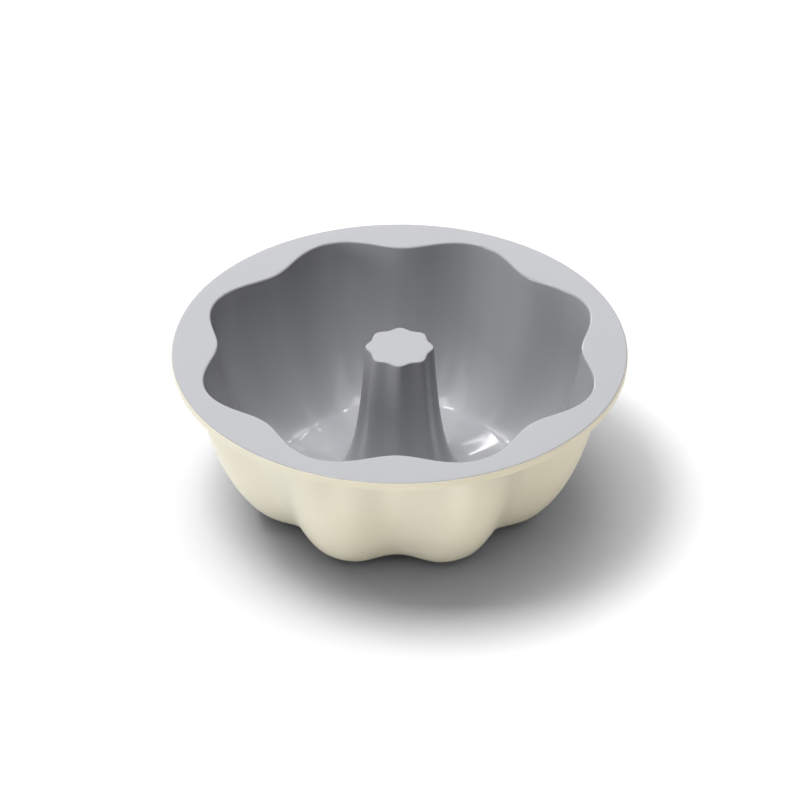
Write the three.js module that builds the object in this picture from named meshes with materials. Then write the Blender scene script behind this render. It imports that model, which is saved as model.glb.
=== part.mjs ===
// Fluted tube pan: a cast body between a grey inner coat and a cream outer coat, in mm, +Z up, standing on z = 0.
import * as THREE from 'three';
import { mergeVertices } from 'three/addons/utils/BufferGeometryUtils.js';

const { degToRad, lerp, smoothstep } = THREE.MathUtils;

// Overall sizes
const RIM_RADIUS = 127;
const PAN_HEIGHT = 96;

// Layers, from the cooking face outwards, with the casting's greater thickness at the rim
const INNER_COAT = 0.4;
const METAL = 3.2;
const RIM_METAL = 4.4;
const OUTER_COAT = 0.4;

// Wall: where its line meets the rim plane, its draft, and how far its curve holds to the wall and to the floor
const WALL_RADIUS = 107.7;
const WALL_DRAFT = degToRad(4.3);
const WALL_HOLD = 46;
const BEND_HOLD = 16.6;

// Floor: the flat ring between the wall's curve and the tube's flare
const FLOOR_OUTER = 67.3;
const FLOOR_INNER = 47.5;

// Tube: its radius at the top, its draft, and the flare that starts below the top and leads down to the floor
const TUBE_RADIUS = 18;
const TUBE_DRAFT = degToRad(4.4);
const FLARE_START = 20;
const FLARE_HOLD = 60;
const FOOT_HOLD = 15;

// Flutes: how many, and half their depth at the rim, on the floor and on the tube
const FLUTES = 8;
const RIM_FLUTE = 6.1;
const FLOOR_FLUTE = 2.25;
const TUBE_FLUTE = 1;
// A second, finer wave makes the ridges a little sharper than the hollows between them
const RIDGE_WAVE = 0.04;
// On the floor the hollows stop at this share of their depth, which leaves eight flat feet to stand on
const FOOT_SHARE = 2 / 3;

// Corner radii of the casting, at the rim's outer edge, on the cooking side and on the outside
const RIM_CORNER = 0.6;
const RIM_EDGE = 0.8;
const RIM_ROOT = 3;
const TUBE_EDGE = 0.4;
const TUBE_ROOT = 2.4;

// Angles above the horizontal, on the rim's upper corner, where the grey coat ends and the cream coat starts
const GREY_END = degToRad(48);
const CREAM_START = degToRad(43);

// How finely the shapes are cut
const STEPS_PER_FLUTE = 8;
const WALL_STEPS = 8;
const FLARE_STEPS = 6;
const MERGE = 1e-4;

const SEGMENTS = STEPS_PER_FLUTE * FLUTES;
const QUARTER = Math.PI / 2;
const UNDER = INNER_COAT + METAL;
const RIM_UNDER = INNER_COAT + RIM_METAL;
const THICKNESS = UNDER + OUTER_COAT;
const FLOOR_HEIGHT = FLOOR_FLUTE * FOOT_SHARE + THICKNESS;
const EDGE_RADIUS = RIM_RADIUS - OUTER_COAT - RIM_CORNER;
const UPPER_CORNER = new THREE.Vector2(EDGE_RADIUS, PAN_HEIGHT - INNER_COAT - RIM_CORNER);
const LOWER_CORNER = new THREE.Vector2(EDGE_RADIUS, PAN_HEIGHT - RIM_UNDER + RIM_CORNER);

// Directions of the profile, which runs from the rim inwards, down the wall, across the floor and up the tube
const INWARD = new THREE.Vector2(-1, 0);
const DOWN_WALL = new THREE.Vector2(-Math.sin(WALL_DRAFT), -Math.cos(WALL_DRAFT));
const UP_TUBE = new THREE.Vector2(-Math.sin(TUBE_DRAFT), Math.cos(TUBE_DRAFT));

// The cooking face's curved parts
const WALL_TOP = new THREE.Vector2(WALL_RADIUS, PAN_HEIGHT);
const TUBE_TOP = new THREE.Vector2(TUBE_RADIUS, PAN_HEIGHT);
const WALL_FOOT = new THREE.Vector2(FLOOR_OUTER, FLOOR_HEIGHT);
const TUBE_FOOT = new THREE.Vector2(FLOOR_INNER, FLOOR_HEIGHT);
const FLARE_TOP = TUBE_TOP.clone().addScaledVector(UP_TUBE, -FLARE_START / UP_TUBE.y);
const wallCurve = new THREE.CubicBezierCurve(
  WALL_TOP,
  WALL_TOP.clone().addScaledVector(DOWN_WALL, WALL_HOLD),
  WALL_FOOT.clone().addScaledVector(INWARD, -BEND_HOLD),
  WALL_FOOT,
);
const flareCurve = new THREE.CubicBezierCurve(
  TUBE_FOOT,
  TUBE_FOOT.clone().addScaledVector(INWARD, FOOT_HOLD),
  FLARE_TOP.clone().addScaledVector(UP_TUBE, -FLARE_HOLD),
  FLARE_TOP,
);

// How the flutes change along each curve: their turn from outwards (0) through down (1) to the axis (2),
// their size, and how far their hollows are flattened
const WALL_FLUTES = { turn: [0, 1], size: [RIM_FLUTE, FLOOR_FLUTE], flat: [0, 1] };
const FLARE_FLUTES = { turn: [1, 2], size: [FLOOR_FLUTE, TUBE_FLUTE], flat: [1, 0] };

// The flutes' wave round the pan: lowest at a ridge, one of which faces -Y, and highest in a hollow
function wave(angle) {
  return -(Math.cos(FLUTES * angle) + RIDGE_WAVE * Math.cos(2 * FLUTES * angle));
}

// A flute's push in (radius, height)
function flutePush(turn, size) {
  return new THREE.Vector2(Math.cos(turn * QUARTER), -Math.sin(turn * QUARTER)).multiplyScalar(size);
}

// A profile point, with the push that a full wave gives it and how far the hollows are flattened there
function station(point, push = new THREE.Vector2(), flat = 0) {
  return { point, push, flat };
}

// The direction from the cooking face into the metal
function intoMetal(direction) {
  return new THREE.Vector2(-direction.y, direction.x);
}

// The point where a line, moved into the metal by depth, meets a level
function cornerTip(top, direction, depth, level) {
  const moved = top.clone().addScaledVector(intoMetal(direction), depth);
  return moved.addScaledVector(direction, (level - moved.y) / direction.y);
}

// Three points round a fluted corner of the profile
function corner(tip, before, after, radius, push) {
  const half = before.angleTo(after) / 2;
  const reach = radius * Math.tan(half);
  const inside = after.clone().sub(before).normalize();
  return [
    station(tip.clone().addScaledVector(before, -reach), push),
    station(tip.clone().addScaledVector(inside, radius / Math.cos(half) - radius), push),
    station(tip.clone().addScaledVector(after, reach), push),
  ];
}

// The points between the ends of a curve, moved into the metal by depth
function alongCurve(curve, steps, depth, flutes) {
  const start = curve.getTangent(0);
  const whole = start.angleTo(curve.getTangent(1));
  return Array.from({ length: steps - 1 }, (_, i) => {
    const t = (i + 1) / steps;
    const tangent = curve.getTangent(t);
    const bend = start.angleTo(tangent) / whole;
    const eased = smoothstep(bend, 0, 1);
    return station(
      curve.getPoint(t).addScaledVector(intoMetal(tangent), depth),
      flutePush(lerp(...flutes.turn, bend), lerp(...flutes.size, eased)),
      lerp(...flutes.flat, eased),
    );
  });
}

// A face at the given depth under the cooking face, which is another depth at the rim, from the axis at the
// tube's top out to the rim's edge
function face(depth, rimDepth, rimRadius, tubeRadius) {
  const tubeLevel = PAN_HEIGHT - depth;
  const rimLevel = PAN_HEIGHT - rimDepth;
  const rimTip = cornerTip(WALL_TOP, DOWN_WALL, depth, rimLevel);
  const tubeTip = cornerTip(TUBE_TOP, UP_TUBE, depth, tubeLevel);
  const floorPush = flutePush(1, FLOOR_FLUTE);
  const tubePush = flutePush(2, TUBE_FLUTE);
  const below = new THREE.Vector2(0, -depth);
  const inwards = [
    station(new THREE.Vector2(EDGE_RADIUS, rimLevel)),
    ...corner(rimTip, INWARD, DOWN_WALL, rimRadius, flutePush(0, RIM_FLUTE)),
    ...alongCurve(wallCurve, WALL_STEPS, depth, WALL_FLUTES),
    station(WALL_FOOT.clone().add(below), floorPush, 1),
    station(TUBE_FOOT.clone().add(below), floorPush, 1),
    ...alongCurve(flareCurve, FLARE_STEPS, depth, FLARE_FLUTES),
    station(FLARE_TOP.clone().addScaledVector(intoMetal(UP_TUBE), depth), tubePush),
    ...corner(tubeTip, UP_TUBE, INWARD, tubeRadius, tubePush),
    station(new THREE.Vector2(0, tubeLevel)),
  ];
  return inwards.reverse();
}

// Points round a corner of the rim's outer edge, at angles above the horizontal
function edgeCorner(centre, radius, angles) {
  return angles.map((angle) => {
    const out = new THREE.Vector2(Math.cos(angle), Math.sin(angle)).multiplyScalar(radius);
    return station(out.add(centre));
  });
}

// The part of the rim's outer edge that the cream coat covers, upwards
function creamEdge(radius) {
  return [
    ...edgeCorner(LOWER_CORNER, radius, [-QUARTER / 2, 0]),
    ...edgeCorner(UPPER_CORNER, radius, [0, CREAM_START]),
  ];
}

// The part of the rim's outer edge that the grey coat covers, upwards
function greyEdge(radius) {
  return edgeCorner(UPPER_CORNER, radius, [GREY_END, (GREY_END + QUARTER) / 2]);
}

// A closed solid from a profile that starts and ends on the axis, with the flutes pressed into it
function fluted(profile) {
  const points = profile.map((entry) => entry.point);
  const geometry = new THREE.LatheGeometry(points, SEGMENTS);
  const position = geometry.attributes.position;
  for (let i = 0; i < position.count; i += 1) {
    const { point, push, flat } = profile[i % profile.length];
    const segment = Math.floor(i / profile.length) % SEGMENTS;
    const angle = (segment / SEGMENTS) * 2 * Math.PI;
    const full = wave(angle);
    const share = lerp(full, Math.min(full, FOOT_SHARE), flat);
    const radius = point.x + push.x * share;
    position.setXYZ(i, radius * Math.sin(angle), point.y + push.y * share, radius * Math.cos(angle));
  }
  geometry.deleteAttribute('normal');
  geometry.deleteAttribute('uv');
  const merged = mergeVertices(geometry, MERGE);
  const corners = merged.index.array;
  const turnOver = THREE.ShapeUtils.area(points) < 0;
  const kept = [];
  for (let i = 0; i < corners.length; i += 3) {
    const [a, b, c] = corners.slice(i, i + 3);
    if (a !== b && b !== c && c !== a) kept.push(...(turnOver ? [a, c, b] : [a, b, c]));
  }
  merged.setIndex(kept);
  merged.rotateX(QUARTER);
  merged.computeVertexNormals();
  return merged;
}

// The four faces between air, coats and metal. Two solids that share a face run along it in the same direction,
// so that both split it into the same triangles.
const cookingFace = face(0, 0, RIM_EDGE + INNER_COAT, TUBE_EDGE + INNER_COAT);
const metalTop = face(INNER_COAT, INNER_COAT, RIM_EDGE, TUBE_EDGE);
const metalUnder = face(UNDER, RIM_UNDER, RIM_ROOT, TUBE_ROOT);
const outerFace = face(THICKNESS, RIM_UNDER + OUTER_COAT, RIM_ROOT - OUTER_COAT, TUBE_ROOT - OUTER_COAT);

const creamMetal = creamEdge(RIM_CORNER);
const creamOutside = creamEdge(RIM_CORNER + OUTER_COAT);
const greyMetal = greyEdge(RIM_CORNER);
const greyOutside = greyEdge(RIM_CORNER + INNER_COAT);

const profiles = {
  cast_body: [...metalUnder, ...creamMetal, ...greyMetal, ...metalTop.toReversed()],
  interior_coating: [...cookingFace, ...greyOutside.toReversed(), ...greyMetal, ...metalTop.toReversed()],
  exterior_coating: [...metalUnder, ...creamMetal, ...creamOutside.toReversed(), ...outerFace.toReversed()],
};

const finishes = {
  cast_body: { color: 0xa9acb0, roughness: 0.45, metalness: 1 },
  interior_coating: { color: 0xb3b5bb, roughness: 0.35, metalness: 0 },
  exterior_coating: { color: 0xe9e3d3, roughness: 0.35, metalness: 0 },
};

const pan = new THREE.Group();
pan.name = 'fluted_tube_pan';
for (const [name, profile] of Object.entries(profiles)) {
  const mesh = new THREE.Mesh(fluted(profile), new THREE.MeshStandardMaterial(finishes[name]));
  mesh.name = name;
  pan.add(mesh);
}

export default pan;
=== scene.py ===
# Fluted tube pan: casting, coats, their finishes and a studio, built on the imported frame. Metres, +Z up.
import math

import bpy
import numpy as np
from bpy.props import (
    FloatProperty,
    FloatVectorProperty,
    IntProperty,
    PointerProperty,
)
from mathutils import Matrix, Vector


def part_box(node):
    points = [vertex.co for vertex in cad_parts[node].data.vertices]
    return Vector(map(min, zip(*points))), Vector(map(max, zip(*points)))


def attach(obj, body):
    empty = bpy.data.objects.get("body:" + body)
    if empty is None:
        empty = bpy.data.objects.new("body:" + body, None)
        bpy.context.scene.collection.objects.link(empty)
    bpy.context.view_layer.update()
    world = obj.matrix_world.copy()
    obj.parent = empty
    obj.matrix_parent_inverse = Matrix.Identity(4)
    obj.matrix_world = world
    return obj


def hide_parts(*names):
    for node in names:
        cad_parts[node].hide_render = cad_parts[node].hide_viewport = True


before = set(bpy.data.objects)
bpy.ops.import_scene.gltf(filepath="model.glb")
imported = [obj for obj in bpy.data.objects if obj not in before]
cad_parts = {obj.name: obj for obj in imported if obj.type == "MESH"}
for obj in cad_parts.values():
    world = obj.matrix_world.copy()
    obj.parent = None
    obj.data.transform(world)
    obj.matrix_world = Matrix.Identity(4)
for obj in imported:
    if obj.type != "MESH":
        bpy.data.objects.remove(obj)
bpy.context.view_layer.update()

bl_info = {
    "name": "Fluted Tube Pan",
    "version": (1, 0, 0),
    "blender": (4, 5, 0),
    "location": "3D View > Sidebar > Tube Pan",
    "description": "Builds a coated cast cake pan with a fluted wall and tube, and a studio to show it in",
    "category": "Object",
}

BODY = "root"
IMAGE_PIXELS = 800
LAMP_DISTANCE = 3.0
FLOOR_HALF = 0.6
FLOOR_GAP = 0.0001
QUARTER = math.pi / 2
FOOT_SHOULDER = 0.2
SHARP_ANGLE = math.radians(40)


# Settings

def length(name, description, default):
    """A size in metres."""
    return FloatProperty(name=name, description=description, default=default, unit="LENGTH", precision=5)


def angle(name, description, degrees):
    """An angle, given in degrees and kept in radians."""
    return FloatProperty(name=name, description=description, default=math.radians(degrees), subtype="ANGLE")


def share(name, description, default):
    """A number between nought and one."""
    return FloatProperty(name=name, description=description, default=default, min=0, max=1, subtype="FACTOR")


def whole(name, description, default, least):
    """A whole number."""
    return IntProperty(name=name, description=description, default=default, min=least)


def pixels(name, description, default):
    """A length in pixels of the square image."""
    return FloatProperty(name=name, description=description, default=default)


def level(name, description, default):
    """How bright a white card that faces the light is, where one is white."""
    return FloatProperty(name=name, description=description, default=default, min=0)


def colour(name, description, default):
    """A linear colour."""
    return FloatVectorProperty(
        name=name, description=description, default=default, size=3, min=0, max=1, subtype="COLOR"
    )


class PanShape(bpy.types.PropertyGroup):
    """Sizes of the pan. The profile's names are those of the cooking face, which the grey coat shows."""

    rim_radius: length("Rim radius", "Radius of the rim's outer edge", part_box("exterior_coating")[1][0])
    pan_height: length("Height", "Height of the rim's top above the feet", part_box("interior_coating")[1][2])
    inner_coat: length("Inner coat", "Thickness of the grey coat", 0.0004)
    metal: length("Metal", "Thickness of the casting", 0.0032)
    rim_metal: length("Rim metal", "Thickness of the casting at the rim", 0.0044)
    outer_coat: length("Outer coat", "Thickness of the cream coat", 0.0004)
    wall_radius: length("Wall radius", "Where the wall's line meets the rim plane", 0.1077)
    wall_draft: angle("Wall draft", "Lean of the wall at the rim", 4.3)
    wall_hold: length("Wall hold", "How far the wall's curve keeps to the draft", 0.046)
    bend_hold: length("Bend hold", "How far the wall's curve keeps to the floor", 0.0166)
    floor_outer: length("Floor outer radius", "Where the wall's curve meets the floor", 0.0673)
    floor_inner: length("Floor inner radius", "Where the tube's flare meets the floor", 0.0475)
    tube_radius: length("Tube radius", "Radius of the tube at its top", 0.018)
    tube_draft: angle("Tube draft", "Lean of the tube at its top", 4.4)
    flare_start: length("Flare start", "Depth below the rim where the tube starts to flare", 0.02)
    flare_hold: length("Flare hold", "How far the flare keeps to the tube's draft", 0.06)
    foot_hold: length("Foot hold", "How far the flare keeps to the floor", 0.015)
    flutes: whole("Flutes", "Number of flutes round the pan", 8, 3)
    rim_flute: length("Rim flute", "Half the depth of the flutes at the rim", 0.0061)
    floor_flute: length("Floor flute", "Half the depth of the flutes on the floor", 0.00225)
    tube_flute: length("Tube flute", "Half the depth of the flutes on the tube", 0.001)
    ridge_wave: share("Ridge wave", "Second wave that sharpens the ridges between the hollows", 0.04)
    foot_share: share("Foot share", "Share of the floor's flutes at which they flatten into feet", 2 / 3)
    rim_corner: length("Rim corner", "Radius of the casting's corners at the rim's outer edge", 0.0006)
    rim_edge: length("Rim edge", "Radius of the casting's edge at the opening", 0.0008)
    rim_root: length("Rim root", "Radius of the casting's corner under the rim", 0.003)
    tube_edge: length("Tube edge", "Radius of the casting's edge at the tube's top", 0.0004)
    tube_root: length("Tube root", "Radius of the casting's corner in the tube's hollow", 0.0024)
    grey_end: angle("Grey end", "Angle on the rim's upper corner where the grey coat ends", 48)
    cream_start: angle("Cream start", "Angle on the rim's upper corner where the cream coat starts", 43)
    steps_per_flute: whole("Steps per flute", "Mesh steps round each flute", 36, 4)


class PanFinish(bpy.types.PropertyGroup):
    """Colours and wear of the pan."""

    grey: colour("Grey", "Colour of the inner coat", (0.36, 0.364, 0.382))
    cream: colour("Cream", "Colour of the outer coat", (0.88, 0.825, 0.65))
    metal: colour("Metal", "Colour of the bare casting", (0.62, 0.63, 0.65))
    rubbed: colour("Rubbed", "Colour of the outer coat where the feet are rubbed", (0.74, 0.69, 0.55))
    rub_height: length("Rub height", "How far up from the shelf the feet are rubbed", 0.0006)


class StudioSettings(bpy.types.PropertyGroup):
    """Camera, lamps and floor."""

    azimuth: angle("Azimuth", "Turn of the camera round the pan", 0.85)
    elevation: angle("Elevation", "Height of the camera above the horizon", 34.59)
    distance: length("Distance", "From the camera to the middle of the rim", 1.903)
    focal_pixels: pixels("Focal length", "Focal length of the camera", 3418)
    rim_left: pixels("Rim left", "From the image's middle left to the rim's", 0.48)
    rim_up: pixels("Rim up", "From the image's middle up to the rim's", 53.4)
    floor_colour: colour("Floor", "Colour of the pale floor", (0.85, 0.85, 0.85))
    key_level: level("Key level", "Light on the pan from the large lamp overhead on the left", 0.76)
    top_level: level("Top level", "Light on the pan from straight above", 0.29)
    back_level: level("Back level", "Light from the large lamp behind that shines on the flat rim", 0.15)
    rake_level: level("Rake level", "Light from the low lamp behind that shines along the inner edges", 0.1)
    glint_level: level("Glint level", "Light from the small lamp overhead that glints beside the tube", 0.1)
    spark_level: level("Spark level", "Light from the small lamp behind that sparkles in the channel", 0.055)
    wall_level: level("Wall level", "Light on the inner wall from the low lamp in front on the left", 0.32)
    front_level: level("Front level", "Light on the outside from the low lamp in front on the left", 0.235)
    side_level: level("Side level", "Light on the outside from the lamp on the right", 0.16)
    bounce_level: level("Bounce level", "Light on the outside from below, as from a bright table", 0.16)
    front_tint: colour("Front tint", "Colour of the low lamp in front", (0.83, 0.915, 1.0))
    side_tint: colour("Side tint", "Colour of the lamp on the right", (1.0, 0.85, 0.55))
    bounce_tint: colour("Bounce tint", "Colour of the light from below", (1.0, 0.95, 0.84))
    floor_key_level: level("Floor key level", "Light on the floor from the lamp overhead on the left", 0.585)
    floor_soft_level: level("Floor soft level", "Light on the floor from the wide lamp behind", 0.465)
    floor_fill_level: level("Floor fill level", "Light on the floor from all over the ceiling", 0.47)


# Profile of the pan

def stations(points, push=(0, 0), flat=0.0):
    """Rows of radius, height, a full wave's outward and upward push, and how far hollows are flattened."""
    points = np.atleast_2d(points)
    rows = np.empty((len(points), 5))
    rows[:, :2] = points
    rows[:, 2:4] = push
    rows[:, 4] = flat
    return rows


def flute_push(turn, size):
    """A flute's push when its direction has turned from outwards (0) through down (1) to the axis (2)."""
    turn = np.atleast_1d(turn) * QUARTER
    return np.column_stack([np.cos(turn), -np.sin(turn)]) * np.reshape(size, (-1, 1))


def into_metal(direction):
    """The direction from the cooking face into the metal."""
    direction = np.asarray(direction)
    return np.stack([-direction[..., 1], direction[..., 0]], axis=-1)


def curve(ends, t):
    """Points and unit directions along a cubic curve."""
    a, b, c, d = np.asarray(ends)
    t = t[:, None]
    u = 1 - t
    points = u**3 * a + 3 * u * u * t * b + 3 * u * t * t * c + t**3 * d
    slope = u * u * (b - a) + 2 * u * t * (c - b) + t * t * (d - c)
    return points, slope / np.linalg.norm(slope, axis=1, keepdims=True)


def corner(tip, before, after, radius, steps):
    """Points round a corner between two directions."""
    turn = math.acos(np.clip(np.dot(before, after), -1, 1))
    start = tip - before * radius * math.tan(turn / 2)
    side = into_metal(before)
    a = np.linspace(0, turn, steps)[:, None]
    return start + radius * (np.sin(a) * before + (1 - np.cos(a)) * side)


class PanProfile:
    """The pan's faces in (radius, height), from the axis at the tube's top out to the rim's edge."""

    FLANGE_STEPS = 10
    CORNER_STEPS = 9
    WALL_STEPS = 46
    FLOOR_STEPS = 6
    FLARE_STEPS = 36
    TUBE_STEPS = 8
    WALL_START = 0.07
    INWARD = np.array([-1.0, 0.0])

    def __init__(self, shape):
        self.shape = shape
        self.thickness = shape.inner_coat + shape.metal + shape.outer_coat
        self.down_wall = np.array([-math.sin(shape.wall_draft), -math.cos(shape.wall_draft)])
        self.up_tube = np.array([-math.sin(shape.tube_draft), math.cos(shape.tube_draft)])
        floor = shape.floor_flute * shape.foot_share + self.thickness
        self.wall_top = np.array([shape.wall_radius, shape.pan_height])
        self.tube_top = np.array([shape.tube_radius, shape.pan_height])
        self.wall_foot = np.array([shape.floor_outer, floor])
        self.tube_foot = np.array([shape.floor_inner, floor])
        self.flare_top = self.tube_top - self.up_tube * shape.flare_start / self.up_tube[1]
        edge = shape.rim_radius - shape.outer_coat - shape.rim_corner
        top = shape.pan_height - shape.inner_coat
        self.upper_corner = np.array([edge, top - shape.rim_corner])
        self.lower_corner = np.array([edge, top - shape.rim_metal + shape.rim_corner])

    def tip(self, top, direction, depth, level):
        """Where a line, moved into the metal by depth, meets a level."""
        moved = top + into_metal(direction) * depth
        return moved + direction * (level - moved[1]) / direction[1]

    def along(self, ends, t, depth, turns, sizes, flats):
        """Stations on a curve moved into the metal by depth, with flutes that change as the curve bends."""
        points, directions = curve(ends, t)
        bounds = curve(ends, np.array([0.0, 1.0]))[1]
        whole = math.acos(np.clip(np.dot(bounds[0], bounds[1]), -1, 1))
        bend = np.arccos(np.clip(directions @ bounds[0], -1, 1)) / whole
        ease = bend * bend * (3 - 2 * bend)
        push = flute_push(turns[0] + bend * (turns[1] - turns[0]), sizes[0] + ease * (sizes[1] - sizes[0]))
        moved = points + into_metal(directions) * depth
        return stations(moved, push, flats[0] + ease * (flats[1] - flats[0]))

    def face(self, depth, rim_depth, rim_fillet, tube_fillet):
        """The face at the given depth under the cooking face, which is another one at the rim."""
        s = self.shape
        rim_level = s.pan_height - rim_depth
        tube_level = s.pan_height - depth
        rim_push = flute_push(0, s.rim_flute)
        floor_push = flute_push(1, s.floor_flute)
        tube_push = flute_push(2, s.tube_flute)
        rim_tip = self.tip(self.wall_top, self.down_wall, depth, rim_level)
        rim = corner(rim_tip, self.INWARD, self.down_wall, rim_fillet, self.CORNER_STEPS)
        tube_tip = self.tip(self.tube_top, self.up_tube, depth, tube_level)
        top = corner(tube_tip, self.up_tube, self.INWARD, tube_fillet, self.CORNER_STEPS)
        # The flutes grow across the flat rim and fade across the tube's top, with rows close to the edges
        across = np.linspace(0, 1, self.FLANGE_STEPS)[:-1] ** 0.5
        edge = self.upper_corner[0]
        flat_rim = stations(
            np.column_stack([edge + (rim[0, 0] - edge) * across, np.full(len(across), rim_level)]),
            rim_push * across[:, None] ** 2,
        )
        flat_top = stations(
            np.column_stack([top[-1, 0] * across[::-1], np.full(len(across), tube_level)]),
            tube_push * across[::-1, None],
        )
        wall = self.along(
            [self.wall_top, self.wall_top + self.down_wall * s.wall_hold,
             self.wall_foot - self.INWARD * s.bend_hold, self.wall_foot],
            np.linspace(self.WALL_START, 1, self.WALL_STEPS), depth,
            (0, 1), (s.rim_flute, s.floor_flute), (0, 1),
        )
        floor = np.linspace(self.wall_foot, self.tube_foot, self.FLOOR_STEPS)[1:-1] - (0, depth)
        flare = self.along(
            [self.tube_foot, self.tube_foot + self.INWARD * s.foot_hold,
             self.flare_top - self.up_tube * s.flare_hold, self.flare_top],
            np.linspace(0, 1, self.FLARE_STEPS), depth,
            (1, 2), (s.floor_flute, s.tube_flute), (1, 0),
        )
        tube = np.linspace(flare[-1, :2], top[0], self.TUBE_STEPS)[1:-1]
        inwards = np.vstack([
            flat_rim,
            stations(rim, rim_push),
            wall,
            stations(floor, floor_push, 1),
            flare,
            stations(tube, tube_push),
            stations(top, tube_push),
            flat_top,
        ])
        return inwards[::-1]

    def round_corner(self, centre, radius, start, stop):
        """Stations round a corner of the rim's edge, between two angles above the horizontal."""
        angles = np.linspace(start, stop, self.CORNER_STEPS)
        return stations(centre + radius * np.column_stack([np.cos(angles), np.sin(angles)]))

    def faces(self):
        """The four faces between air, coats and metal, from the cooking face outwards."""
        s = self.shape
        under, rim_under = s.inner_coat + s.metal, s.inner_coat + s.rim_metal
        return (
            self.face(0, 0, s.rim_edge + s.inner_coat, s.tube_edge + s.inner_coat),
            self.face(s.inner_coat, s.inner_coat, s.rim_edge, s.tube_edge),
            self.face(under, rim_under, s.rim_root, s.tube_root),
            self.face(under + s.outer_coat, rim_under + s.outer_coat, s.rim_root - s.outer_coat,
                      s.tube_root - s.outer_coat),
        )

    def cream_edge(self, radius):
        """Stations up the part of the rim's edge that the cream coat covers."""
        return np.vstack([
            self.round_corner(self.lower_corner, radius, -QUARTER, 0)[1:],
            self.round_corner(self.upper_corner, radius, 0, self.shape.cream_start),
        ])

    def grey_edge(self, radius):
        """Stations up the part of the rim's edge that the grey coat covers."""
        return self.round_corner(self.upper_corner, radius, self.shape.grey_end, QUARTER)[:-1]

    def cast_body(self):
        """Outline of the casting."""
        _, top, under, _ = self.faces()
        radius = self.shape.rim_corner
        return np.vstack([under, self.cream_edge(radius), self.grey_edge(radius), top[::-1]])

    def interior_coating(self):
        """Outline of the grey coat."""
        outer, top, _, _ = self.faces()
        radius = self.shape.rim_corner
        edge = self.grey_edge(radius + self.shape.inner_coat)
        return np.vstack([outer, edge[::-1], self.grey_edge(radius), top[::-1]])

    def exterior_coating(self):
        """Outline of the cream coat."""
        _, _, under, outer = self.faces()
        radius = self.shape.rim_corner
        edge = self.cream_edge(radius + self.shape.outer_coat)
        return np.vstack([under, self.cream_edge(radius), edge[::-1], outer[::-1]])


# Meshes

def wave(shape, angles):
    """The flutes' wave round the pan: lowest at a ridge, one of which faces -Y, and highest in a hollow."""
    phase = shape.flutes * angles
    return -(np.cos(phase) + shape.ridge_wave * np.cos(2 * phase))


def flattened(values, limit, shoulder=FOOT_SHOULDER):
    """The values held under a limit, with a rounded shoulder."""
    overlap = np.maximum(shoulder - np.abs(values - limit), 0) / shoulder
    return np.minimum(values, limit) - overlap**2 * shoulder / 4


def fluted_mesh(name, shape, rows):
    """A closed mesh from an outline that starts and ends on the axis, with the flutes pressed into it."""
    steps = shape.flutes * shape.steps_per_flute
    angles = np.arange(steps) * 2 * math.pi / steps
    full = wave(shape, angles)
    pushed = full + rows[:, 4:5] * (flattened(full, shape.foot_share) - full)
    radius = rows[:, 0:1] + rows[:, 2:3] * pushed
    height = rows[:, 1:2] + rows[:, 3:4] * pushed
    points = np.stack([radius * np.sin(angles), -radius * np.cos(angles), height], axis=-1)
    rings = points[1:-1]
    count = len(rings)
    vertices = np.vstack([rings.reshape(-1, 3), points[0, :1], points[-1, :1]])

    here = np.arange(steps)
    after = (here + 1) % steps
    base = np.arange(count - 1)[:, None] * steps
    quads = np.stack([base + here, base + after, base + steps + after, base + steps + here], axis=-1)
    quads = quads.reshape(-1, 4)
    first, last = count * steps, count * steps + 1
    end = (count - 1) * steps
    caps = np.vstack([
        np.column_stack([np.full(steps, first), after, here]),
        np.column_stack([np.full(steps, last), end + here, end + after]),
    ])
    r, z = rows[:, 0], rows[:, 1]
    area = np.sum(r * np.roll(z, -1) - np.roll(r, -1) * z)
    if area < 0:
        quads, caps = quads[:, ::-1], caps[:, ::-1]

    mesh = bpy.data.meshes.new(name)
    mesh.from_pydata(vertices.tolist(), [], quads.tolist() + caps.tolist())
    mesh.polygons.foreach_set("use_smooth", np.ones(len(mesh.polygons), dtype=bool))
    mesh.set_sharp_from_angle(angle=SHARP_ANGLE)
    mesh.update()
    return mesh


def pan_collection():
    """The collection of the pan's pieces, for the lamps that light the pan alone."""
    return bpy.data.collections.get("pan") or bpy.data.collections.new("pan")


def add_piece(name, mesh, material, node):
    """Adds a piece of the pan, which stands for a CAD node and has the given finish."""
    piece = bpy.data.objects.new(name, mesh)
    bpy.context.scene.collection.objects.link(piece)
    pan_collection().objects.link(piece)
    mesh.materials.append(material)
    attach(piece, BODY)
    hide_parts(node)
    return piece


# Finishes

def add_node(tree, kind, inputs=None, **settings):
    """Adds a node with its settings and the values or links of its inputs."""
    node = tree.nodes.new(kind)
    for key, value in settings.items():
        setattr(node, key, value)
    for key, value in (inputs or {}).items():
        if isinstance(value, bpy.types.NodeSocket):
            tree.links.new(value, node.inputs[key])
        else:
            node.inputs[key].default_value = value
    return node


def math_node(tree, operation, *values):
    """The output of a math node."""
    return add_node(tree, "ShaderNodeMath", dict(enumerate(values)), operation=operation).outputs[0]


def scaled(tree, tint, tone):
    """A colour times a tone."""
    return add_node(tree, "ShaderNodeVectorMath", {0: tint, "Scale": tone}, operation="SCALE").outputs[0]


def noise(tree, place, scale, detail, distortion=0.0):
    """The grey output of a noise texture."""
    inputs = {"Vector": place, "Scale": scale, "Detail": detail, "Distortion": distortion}
    return add_node(tree, "ShaderNodeTexNoise", inputs).outputs[0]


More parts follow.
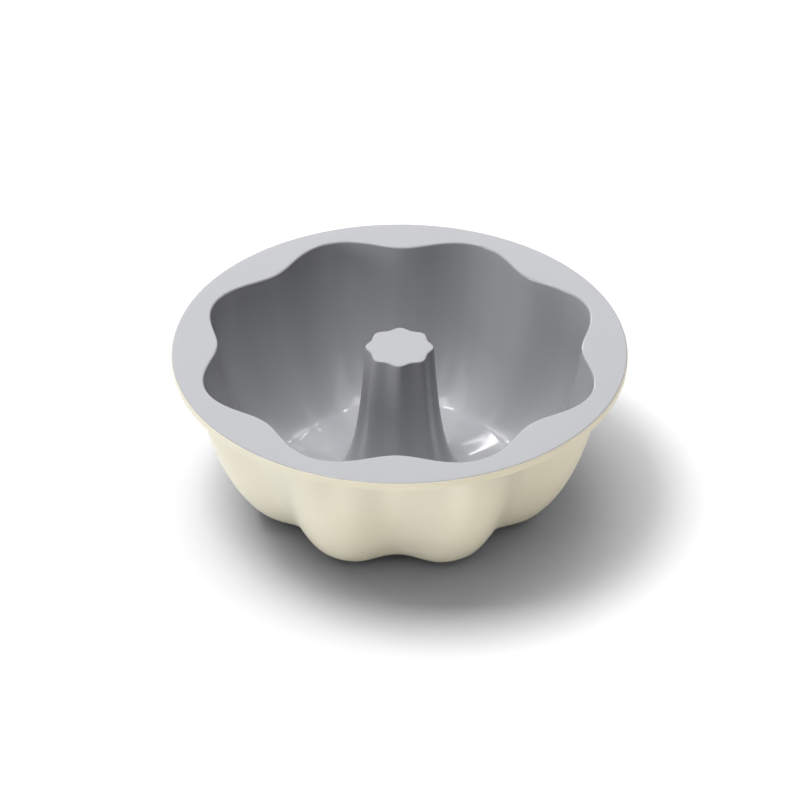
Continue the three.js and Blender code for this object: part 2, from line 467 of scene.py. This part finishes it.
def baked_coat_group():
    """Clouded tone, smudged gloss and the fine orange peel of a sprayed and baked coat."""
    name = "baked_coat"
    if name in bpy.data.node_groups:
        return bpy.data.node_groups[name]
    tree = bpy.data.node_groups.new(name, "ShaderNodeTree")
    face = tree.interface
    face.new_socket("Colour", in_out="INPUT", socket_type="NodeSocketColor")
    for label, value in (("Clouding", 0.03), ("Gloss", 0.3), ("Smudging", 0.05), ("Peel Size", 0.0015)):
        socket = face.new_socket(label, in_out="INPUT", socket_type="NodeSocketFloat")
        socket.default_value = value
    face.new_socket("Colour", in_out="OUTPUT", socket_type="NodeSocketColor")
    face.new_socket("Roughness", in_out="OUTPUT", socket_type="NodeSocketFloat")
    face.new_socket("Height", in_out="OUTPUT", socket_type="NodeSocketFloat")

    given = add_node(tree, "NodeGroupInput").outputs
    place = add_node(tree, "ShaderNodeTexCoord").outputs["Object"]
    clouds = noise(tree, place, 24.0, 3.0)
    grains = noise(tree, place, 1300.0, 1.0)
    smears = noise(tree, place, 60.0, 4.0, 0.6)
    peel = noise(tree, place, math_node(tree, "DIVIDE", 1.0, given["Peel Size"]), 2.0)

    grain_share = 0.35
    mixed = math_node(tree, "MULTIPLY_ADD", grains, grain_share, clouds)
    centred = math_node(tree, "SUBTRACT", mixed, (1 + grain_share) / 2)
    tone = math_node(tree, "MULTIPLY_ADD", centred, given["Clouding"], 1.0)
    toned = scaled(tree, given["Colour"], tone)
    smear = math_node(tree, "SUBTRACT", smears, 0.5)
    rough = math_node(tree, "MULTIPLY_ADD", smear, given["Smudging"], given["Gloss"])
    add_node(tree, "NodeGroupOutput", {"Colour": toned, "Roughness": rough, "Height": peel})
    return tree


def new_material(name):
    """An empty node material and its Principled shader."""
    material = bpy.data.materials.new(name)
    material.use_nodes = True
    tree = material.node_tree
    tree.nodes.clear()
    shader = add_node(tree, "ShaderNodeBsdfPrincipled")
    add_node(tree, "ShaderNodeOutputMaterial", {"Surface": shader.outputs[0]})
    return material, tree, shader


def baked_coat(tree, shader, tint, clouding, gloss, smudging, peel_size, peel_depth):
    """Joins the baked coat group to a shader, and returns its outputs."""
    coat = tree.nodes.new("ShaderNodeGroup")
    coat.node_tree = baked_coat_group()
    coat.inputs["Colour"].default_value = (*tint, 1)
    coat.inputs["Clouding"].default_value = clouding
    coat.inputs["Gloss"].default_value = gloss
    coat.inputs["Smudging"].default_value = smudging
    coat.inputs["Peel Size"].default_value = peel_size
    tree.links.new(coat.outputs["Colour"], shader.inputs["Base Color"])
    tree.links.new(coat.outputs["Roughness"], shader.inputs["Roughness"])
    bump = add_node(
        tree, "ShaderNodeBump", {"Strength": 1.0, "Distance": peel_depth, "Height": coat.outputs["Height"]}
    )
    tree.links.new(bump.outputs[0], shader.inputs["Normal"])
    return coat.outputs


def grey_coat_material(finish):
    """The satin grey ceramic coat inside."""
    material, tree, shader = new_material("grey_coat")
    baked_coat(
        tree, shader, finish.grey, clouding=0.05, gloss=0.18, smudging=0.06,
        peel_size=0.0018, peel_depth=0.000012,
    )
    shader.inputs["IOR"].default_value = 1.55
    return material


def cream_coat_material(finish):
    """The cream ceramic coat outside, rubbed a little duller where the feet slide on a shelf."""
    material, tree, shader = new_material("cream_coat")
    coat = baked_coat(
        tree, shader, finish.cream, clouding=0.04, gloss=0.32, smudging=0.08,
        peel_size=0.002, peel_depth=0.000014,
    )
    place = add_node(tree, "ShaderNodeTexCoord").outputs["Object"]
    height = add_node(tree, "ShaderNodeSeparateXYZ", {"Vector": place}).outputs["Z"]
    near_shelf = add_node(
        tree, "ShaderNodeMapRange",
        {"Value": height, "From Min": 0.0, "From Max": finish.rub_height, "To Min": 1.0, "To Max": 0.0},
    ).outputs[0]
    scratches = noise(tree, place, 240.0, 6.0)
    rubbed = math_node(tree, "MULTIPLY", near_shelf, scratches)
    worn = add_node(
        tree, "ShaderNodeMix",
        {"Factor": rubbed, "A": coat["Colour"], "B": (*finish.rubbed, 1)}, data_type="RGBA",
    )
    tree.links.new(worn.outputs["Result"], shader.inputs["Base Color"])
    dulled = math_node(tree, "MULTIPLY_ADD", rubbed, 0.4, coat["Roughness"])
    tree.links.new(dulled, shader.inputs["Roughness"])
    shader.inputs["IOR"].default_value = 1.5
    return material


def cast_metal_material(finish):
    """The bare casting, which shows only in the fine line between the two coats."""
    material, tree, shader = new_material("cast_metal")
    place = add_node(tree, "ShaderNodeTexCoord").outputs["Object"]
    grain = noise(tree, place, 700.0, 4.0)
    tone = add_node(
        tree, "ShaderNodeMapRange", {"Value": grain, "To Min": 0.75, "To Max": 1.1},
    ).outputs[0]
    tree.links.new(scaled(tree, tuple(finish.metal), tone), shader.inputs["Base Color"])
    rough = add_node(
        tree, "ShaderNodeMapRange", {"Value": grain, "To Min": 0.35, "To Max": 0.65},
    ).outputs[0]
    tree.links.new(rough, shader.inputs["Roughness"])
    bump = add_node(tree, "ShaderNodeBump", {"Strength": 1.0, "Distance": 0.00003, "Height": grain})
    tree.links.new(bump.outputs[0], shader.inputs["Normal"])
    shader.inputs["Metallic"].default_value = 1
    return material


# Stage

def seen_directly(tree):
    """One for rays from the camera, from gloss and through glass, which see the plain background."""
    path = add_node(tree, "ShaderNodeLightPath").outputs
    either = math_node(tree, "MAXIMUM", path["Is Camera Ray"], path["Is Glossy Ray"])
    return math_node(tree, "MAXIMUM", either, path["Is Transmission Ray"])


def floor_material(studio):
    """A plain pale floor, clear from below."""
    material = bpy.data.materials.new("studio_floor")
    material.use_nodes = True
    tree = material.node_tree
    tree.nodes.clear()
    plain = add_node(tree, "ShaderNodeBsdfDiffuse", {"Color": (*studio.floor_colour, 1)})
    clear = add_node(tree, "ShaderNodeBsdfTransparent")
    below = add_node(tree, "ShaderNodeNewGeometry").outputs["Backfacing"]
    mixed = add_node(tree, "ShaderNodeMixShader", {0: below, 1: plain.outputs[0], 2: clear.outputs[0]})
    add_node(tree, "ShaderNodeOutputMaterial", {"Surface": mixed.outputs[0]})
    return material


def studio_world():
    """White to the eye and in gloss. It lights nothing else, which is left to the lamps."""
    world = bpy.data.worlds.new("studio")
    world.use_nodes = True
    tree = world.node_tree
    tree.nodes.clear()
    white = add_node(
        tree, "ShaderNodeBackground", {"Color": (1, 1, 1, 1), "Strength": seen_directly(tree)}
    ).outputs[0]
    add_node(tree, "ShaderNodeOutputWorld", {"Surface": white})
    return world


def direction(azimuth, elevation):
    """A unit vector, turned from the front to the right by azimuth and raised by elevation."""
    return Vector((
        math.sin(azimuth) * math.cos(elevation),
        -math.cos(azimuth) * math.cos(elevation),
        math.sin(elevation),
    ))


def square_share(size):
    """Share of the light that a square lamp's distance leaves to a point that faces it."""
    half = size / 2 / LAMP_DISTANCE
    lean = half / math.sqrt(1 + half * half)
    return 4 / math.pi * lean * math.atan(lean)


def add_lamp(name, azimuth, elevation, size, brightness, aim, lit, tint=(1, 1, 1)):
    """A square lamp, in degrees and metres, that shows a white card at the aim at the given brightness."""
    away = direction(math.radians(azimuth), math.radians(elevation))
    lamp = bpy.data.lights.new(name, "AREA")
    lamp.shape = "SQUARE"
    lamp.size = size
    lamp.color = tint
    lamp.energy = brightness * math.pi * size * size / square_share(size)
    holder = bpy.data.objects.new(name, lamp)
    holder.location = aim + away * LAMP_DISTANCE
    holder.rotation_mode = "QUATERNION"
    holder.rotation_quaternion = away.to_track_quat("Z", "Y")
    holder.light_linking.receiver_collection = lit
    bpy.context.scene.collection.objects.link(holder)
    return holder


def add_floor(studio):
    """The floor, a hair under the feet and ending where it is still white."""
    half, gap = FLOOR_HALF, FLOOR_GAP
    mesh = bpy.data.meshes.new("floor")
    corners = [(-half, -half, -gap), (half, -half, -gap), (half, half, -gap), (-half, half, -gap)]
    mesh.from_pydata(corners, [], [(0, 1, 2, 3)])
    mesh.materials.append(floor_material(studio))
    floor = bpy.data.objects.new("floor", mesh)
    bpy.context.scene.collection.objects.link(floor)
    return floor


def lit_alone(name, piece):
    """A collection of one piece, for the lamps that light only that."""
    collection = bpy.data.collections.new(name)
    collection.objects.link(piece)
    return collection


def add_lamps(studio, middle, floor):
    """Lamps for the whole pan, for its inside, for its outside and for the floor."""
    casting, grey, cream = (bpy.data.objects[name] for name in ("casting", "grey_coat", "cream_coat"))
    pan, stage = pan_collection(), lit_alone("stage", floor)
    inside, outside = lit_alone("inside", grey), lit_alone("outside", cream)
    # The outside throws no light of its own on the floor, which keeps the shadow plain
    for piece in (casting, cream):
        piece.visible_diffuse = False

    # The key leaves the highlights to the smaller lamps
    key = add_lamp("key", 274, 75, 2.4, studio.key_level, middle, pan)
    key.visible_glossy = False
    add_lamp("top", 0, 88, 1.6, studio.top_level, middle, pan)
    add_lamp("back", 190, 27, 2.2, studio.back_level, middle, pan)

    add_lamp("rake", 208, 14, 0.7, studio.rake_level, middle, inside)
    add_lamp("glint", 206, 67, 0.25, studio.glint_level, middle, inside)
    add_lamp("wall", 292, 10, 0.9, studio.wall_level, middle, inside)
    # The pan's own wall doesn't keep this one from the channel
    spark = add_lamp("spark", 152.5, 58, 0.12, studio.spark_level, middle, inside)
    spark.light_linking.blocker_collection = stage

    add_lamp("front", 296, 8, 1.8, studio.front_level, middle, outside, studio.front_tint)
    add_lamp("side", 50, 50, 1.2, studio.side_level, middle, outside, studio.side_tint)
    # The floor doesn't keep this one from the pan
    bounce = add_lamp("bounce", 10, -50, 1.4, studio.bounce_level, middle, outside, studio.bounce_tint)
    bounce.light_linking.blocker_collection = pan

    add_lamp("floor_key", 269, 69.5, 1.3, studio.floor_key_level, middle, stage)
    add_lamp("floor_soft", 200, 75.6, 2.6, studio.floor_soft_level, middle, stage)
    add_lamp("floor_fill", 0, 90, 6.0, studio.floor_fill_level, middle, stage)


def add_camera(studio, rim_centre):
    """A camera that sees the rim's middle where the picture shows it."""
    back = direction(studio.azimuth, studio.elevation)
    right = direction(studio.azimuth + QUARTER, 0)
    up = back.cross(right)
    metres_per_pixel = studio.distance / studio.focal_pixels
    aim = rim_centre + (right * studio.rim_left - up * studio.rim_up) * metres_per_pixel
    camera = bpy.data.cameras.new("camera")
    camera.lens = camera.sensor_width * studio.focal_pixels / IMAGE_PIXELS
    holder = bpy.data.objects.new("camera", camera)
    holder.location = rim_centre + back * studio.distance
    holder.rotation_mode = "QUATERNION"
    holder.rotation_quaternion = (aim - holder.location).to_track_quat("-Z", "Y")
    bpy.context.scene.collection.objects.link(holder)
    bpy.context.scene.camera = holder


# Operators

class PAN_OT_cast_body(bpy.types.Operator):
    """Builds the metal casting that carries both coats"""

    bl_idname = "pan.cast_body"
    bl_label = "Cast Body"

    def execute(self, context):
        shape = context.scene.pan_shape
        mesh = fluted_mesh("casting", shape, PanProfile(shape).cast_body())
        add_piece("casting", mesh, cast_metal_material(context.scene.pan_finish), "cast_body")
        return {"FINISHED"}


class PAN_OT_coats(bpy.types.Operator):
    """Builds the grey coat inside and the cream coat outside"""

    bl_idname = "pan.coats"
    bl_label = "Coats"

    def execute(self, context):
        shape, finish = context.scene.pan_shape, context.scene.pan_finish
        profile = PanProfile(shape)
        grey = fluted_mesh("grey_coat", shape, profile.interior_coating())
        add_piece("grey_coat", grey, grey_coat_material(finish), "interior_coating")
        cream = fluted_mesh("cream_coat", shape, profile.exterior_coating())
        add_piece("cream_coat", cream, cream_coat_material(finish), "exterior_coating")
        return {"FINISHED"}


class PAN_OT_stage(bpy.types.Operator):
    """Builds the floor, lamps, world and camera"""

    bl_idname = "pan.stage"
    bl_label = "Stage"

    def execute(self, context):
        studio, shape = context.scene.pan_studio, context.scene.pan_shape
        context.scene.world = studio_world()
        add_lamps(studio, Vector((0, 0, shape.pan_height / 2)), add_floor(studio))
        add_camera(studio, Vector((0, 0, shape.pan_height)))
        context.scene.view_settings.view_transform = "Standard"
        return {"FINISHED"}


class PAN_PT_sidebar(bpy.types.Panel):
    """Lists the pan's operators and settings"""

    bl_idname = "PAN_PT_sidebar"
    bl_label = "Fluted Tube Pan"
    bl_space_type = "VIEW_3D"
    bl_region_type = "UI"
    bl_category = "Tube Pan"

    def draw(self, context):
        column = self.layout.column()
        for operator in OPERATORS:
            column.operator(operator.bl_idname)
        for settings in (context.scene.pan_shape, context.scene.pan_finish, context.scene.pan_studio):
            box = self.layout.box()
            for name in settings.__annotations__:
                box.prop(settings, name)


SETTINGS = {"pan_shape": PanShape, "pan_finish": PanFinish, "pan_studio": StudioSettings}
OPERATORS = (PAN_OT_cast_body, PAN_OT_coats, PAN_OT_stage)


def register():
    """Registers the settings, operators and panel."""
    for settings in SETTINGS.values():
        bpy.utils.register_class(settings)
    for name, settings in SETTINGS.items():
        setattr(bpy.types.Scene, name, PointerProperty(type=settings))
    for cls in (*OPERATORS, PAN_PT_sidebar):
        bpy.utils.register_class(cls)


def unregister():
    """Takes everything off again, in the reverse order."""
    for cls in reversed((*OPERATORS, PAN_PT_sidebar)):
        bpy.utils.unregister_class(cls)
    for name in SETTINGS:
        delattr(bpy.types.Scene, name)
    for settings in reversed(SETTINGS.values()):
        bpy.utils.unregister_class(settings)


def main():
    """Builds the pan and its stage."""
    register()
    for call in (bpy.ops.pan.cast_body, bpy.ops.pan.coats, bpy.ops.pan.stage):
        call()


if __name__ == "__main__":
    main()
